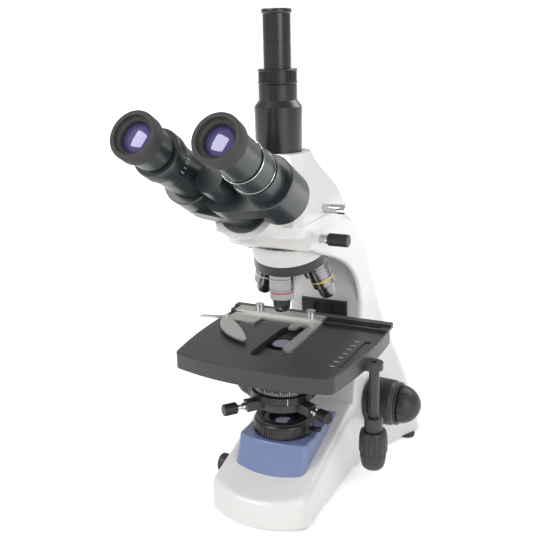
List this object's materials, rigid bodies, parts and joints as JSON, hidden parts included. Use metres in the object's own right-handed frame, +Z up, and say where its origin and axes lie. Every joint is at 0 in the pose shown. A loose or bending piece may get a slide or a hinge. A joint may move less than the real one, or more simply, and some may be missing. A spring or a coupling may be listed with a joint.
{
  "type": "trinocular microscope",
  "caption": "Upright trinocular laboratory microscope with a hinged binocular head, a revolving nosepiece, a mechanical stage, a condenser and a lit base.",
  "frame": {"origin": "on the optical axis at the level of the table the feet stand on", "axes": "+Z up along the optical axis, +Y from the user to the arm, +X to the user's right"},
  "size_m": [0.2246, 0.386, 0.4804],
  "materials": {
    "white_paint": "gloss warm white enamel on the castings",
    "black_paint": "satin slate black paint",
    "dark_metal": "gloss black lacquered metal",
    "blue_plastic": "gloss periwinkle blue moulding",
    "black_plastic": "matt black moulding",
    "steel": "brushed",
    "chrome": "bright plated",
    "lens_glass": "polished, coated",
    "black_rubber": "matt"
  },
  "bodies": {
    "stand": {"stand_casting": "white_paint", "base_plate": "black_paint", "rubber_feet": "black_rubber", "lamp_cover": "blue_plastic", "field_lens_mount": "dark_metal", "field_lens": "lens_glass", "led_lamp": "steel", "power_inlet": "black_plastic", "focus_guide": "black_paint", "nosepiece_base": "white_paint"},
    "field_ring": {"field_diaphragm_ring": "dark_metal"},
    "brightness": {"brightness_knob": "black_plastic"},
    "switch": {"power_switch": "black_plastic"},
    "coarse": {"coarse_sleeve": "steel", "coarse_knob_right": "black_plastic", "coarse_knob_left": "black_plastic"},
    "fine": {"fine_shaft": "steel", "fine_knob_right": "black_plastic", "fine_knob_left": "black_plastic"},
    "tension": {"tension_ring": "black_plastic"},
    "carriage": {"focus_carriage": "black_paint", "stage_lower_plate": "black_paint"},
    "turret": {"turret_ring": "dark_metal", "objective_4x": "chrome", "objective_10x": "chrome", "objective_40x": "chrome", "objective_100x": "chrome"},
    "stage": {"stage_upper_plate": "black_paint", "stage_rail": "black_paint", "stage_drive_rod": "black_paint"},
    "y_knob": {"stage_y_knob": "black_plastic"},
    "x_knob": {"stage_x_knob": "black_plastic"},
    "holder": {"slide_holder": "steel", "holder_thumbscrews": "chrome"},
    "finger": {"slide_finger": "steel"},
    "condenser": {"condenser_bracket": "black_paint", "condenser_body": "dark_metal", "condenser_lens": "lens_glass"},
    "iris": {"iris_ring": "black_plastic"},
    "screw_left": {"centring_screw_left": "chrome"},
    "screw_right": {"centring_screw_right": "chrome"},
    "condenser_drive": {"condenser_knob": "black_plastic"},
    "head": {"head_body": "white_paint", "hinge_hub": "dark_metal", "photo_tube_base": "dark_metal"},
    "head_clamp": {"head_clamp_screw": "black_plastic"},
    "splitter": {"beam_splitter_rod": "chrome"},
    "right_side": {"prism_housing_right": "black_paint", "eyepiece_tube_right": "black_paint"},
    "left_side": {"prism_housing_left": "black_paint", "eyepiece_tube_left": "black_paint"},
    "dioptre": {"dioptre_ring": "black_paint"},
    "eye_right": {"eyepiece_right": "black_paint", "eyecup_right": "black_rubber", "eye_lens_right": "lens_glass"},
    "eye_left": {"eyepiece_left": "black_paint", "eyecup_left": "black_rubber", "eye_lens_left": "lens_glass"},
    "photo_ring": {"photo_clamp_ring": "dark_metal"},
    "photo": {"photo_sleeve": "dark_metal"}
  },
  "joints": [
    {"name": "field_ring_turn", "type": "hinge", "parent": "stand", "child": "field_ring", "pos_m": [0, 0, 0.078], "axis": [0, 0, 1], "range_deg": [-60, 60]},
    {"name": "brightness_turn", "type": "hinge", "parent": "stand", "child": "brightness", "pos_m": [-0.058, -0.02, 0.027], "axis": [-1, 0, 0], "range_deg": [0, 270]},
    {"name": "switch_rock", "type": "hinge", "parent": "stand", "child": "switch", "pos_m": [-0.022, 0.19, 0.03], "axis": [1, 0, 0], "range_deg": [0, 8]},
    {"name": "focus_slide", "type": "slide", "parent": "stand", "child": "carriage", "axis": [0, 0, 1], "range_m": [-0.003, 0.024]},
    {"name": "coarse_turn", "type": "hinge", "parent": "stand", "child": "coarse", "pos_m": [0, 0.1098, 0.066], "axis": [-1, 0, 0], "range_deg": [-20, 147]},
    {"name": "fine_turn", "type": "hinge", "parent": "coarse", "child": "fine", "pos_m": [0, 0.1098, 0.066], "axis": [-1, 0, 0], "continuous": true},
    {"name": "tension_turn", "type": "hinge", "parent": "stand", "child": "tension", "pos_m": [0.057, 0.1098, 0.066], "axis": [1, 0, 0], "range_deg": [-60, 60]},
    {"name": "turret_turn", "type": "hinge", "parent": "stand", "child": "turret", "pos_m": [0, 0.02355, 0.24575], "axis": [0, 0.2756, -0.9613], "continuous": true},
    {"name": "stage_y_slide", "type": "slide", "parent": "carriage", "child": "stage", "axis": [0, 1, 0], "range_m": [-0.022, 0.028]},
    {"name": "y_knob_turn", "type": "hinge", "parent": "stage", "child": "y_knob", "pos_m": [0.0959, 0, 0.077], "axis": [0, 0, 1], "range_deg": [-127, 161]},
    {"name": "holder_x_slide", "type": "slide", "parent": "stage", "child": "holder", "axis": [1, 0, 0], "range_m": [-0.022, 0.045]},
    {"name": "x_knob_turn", "type": "hinge", "parent": "stage", "child": "x_knob", "pos_m": [0.0959, 0, 0.056], "axis": [0, 0, 1], "range_deg": [-127, 259]},
    {"name": "finger_turn", "type": "hinge", "parent": "holder", "child": "finger", "pos_m": [-0.077, 0.027, 0.1711], "axis": [0, 0, -1], "range_deg": [0, 25], "stiffness_Nm_per_rad": 0.05},
    {"name": "condenser_slide", "type": "slide", "parent": "carriage", "child": "condenser", "axis": [0, 0, 1], "range_m": [-0.008, 0]},
    {"name": "condenser_knob_turn", "type": "hinge", "parent": "carriage", "child": "condenser_drive", "pos_m": [-0.06, 0.088, 0.118], "axis": [-1, 0, 0], "range_deg": [-92, 0]},
    {"name": "iris_turn", "type": "hinge", "parent": "condenser", "child": "iris", "pos_m": [0, 0, 0.1138], "axis": [0, 0, 1], "range_deg": [-35, 35]},
    {"name": "screw_left_turn", "type": "hinge", "parent": "condenser", "child": "screw_left", "pos_m": [-0.03147, -0.03886, 0.1045], "axis": [-0.6293, -0.7771, 0], "range_deg": [-180, 180]},
    {"name": "screw_right_turn", "type": "hinge", "parent": "condenser", "child": "screw_right", "pos_m": [0.04568, -0.02034, 0.1045], "axis": [0.9135, -0.4067, 0], "range_deg": [-180, 180]},
    {"name": "head_turn", "type": "hinge", "parent": "stand", "child": "head", "pos_m": [0, 0, 0.285], "axis": [0, 0, 1], "continuous": true},
    {"name": "head_clamp_turn", "type": "hinge", "parent": "stand", "child": "head_clamp", "pos_m": [0.055, 0, 0.274], "axis": [1, 0, 0], "range_deg": [-90, 90]},
    {"name": "splitter_slide", "type": "slide", "parent": "head", "child": "splitter", "axis": [1, 0, 0], "range_m": [0, 0.012]},
    {"name": "right_swing", "type": "hinge", "parent": "head", "child": "right_side", "pos_m": [0, -0.09815, 0.3304], "axis": [0, -0.866, 0.5], "range_deg": [-15, 32]},
    {"name": "left_swing", "type": "hinge", "parent": "head", "child": "left_side", "pos_m": [0, -0.09815, 0.3304], "axis": [0, -0.866, 0.5], "range_deg": [-32, 15]},
    {"name": "dioptre_turn", "type": "hinge", "parent": "left_side", "child": "dioptre", "pos_m": [-0.0358, -0.14093, 0.3663], "axis": [0, -0.866, 0.5], "range_deg": [-180, 180]},
    {"name": "eye_left_slide", "type": "slide", "parent": "left_side", "child": "eye_left", "axis": [0, -0.866, 0.5], "range_m": [-0.0025, 0.0025]},
    {"name": "eye_right_turn", "type": "hinge", "parent": "right_side", "child": "eye_right", "pos_m": [0.0358, -0.15825, 0.3763], "axis": [0, -0.866, 0.5], "continuous": true},
    {"name": "photo_ring_turn", "type": "hinge", "parent": "head", "child": "photo_ring", "pos_m": [0, 0, 0.422], "axis": [0, 0, 1], "range_deg": [-60, 60]},
    {"name": "photo_slide", "type": "slide", "parent": "head", "child": "photo", "axis": [0, 0, 1], "range_m": [0, 0.012]}
  ],
  "couplings": [
    {"joint": "coarse_turn", "follows": "focus_slide", "rad_per_m": 106.38},
    {"joint": "y_knob_turn", "follows": "stage_y_slide", "rad_per_m": 100},
    {"joint": "x_knob_turn", "follows": "holder_x_slide", "rad_per_m": 100},
    {"joint": "condenser_knob_turn", "follows": "condenser_slide", "rad_per_m": 200},
    {"joint": "left_swing", "follows": "right_swing", "ratio": -1},
    {"joint": "eye_left_slide", "follows": "dioptre_turn", "m_per_rad": 0.000795}
  ]
}
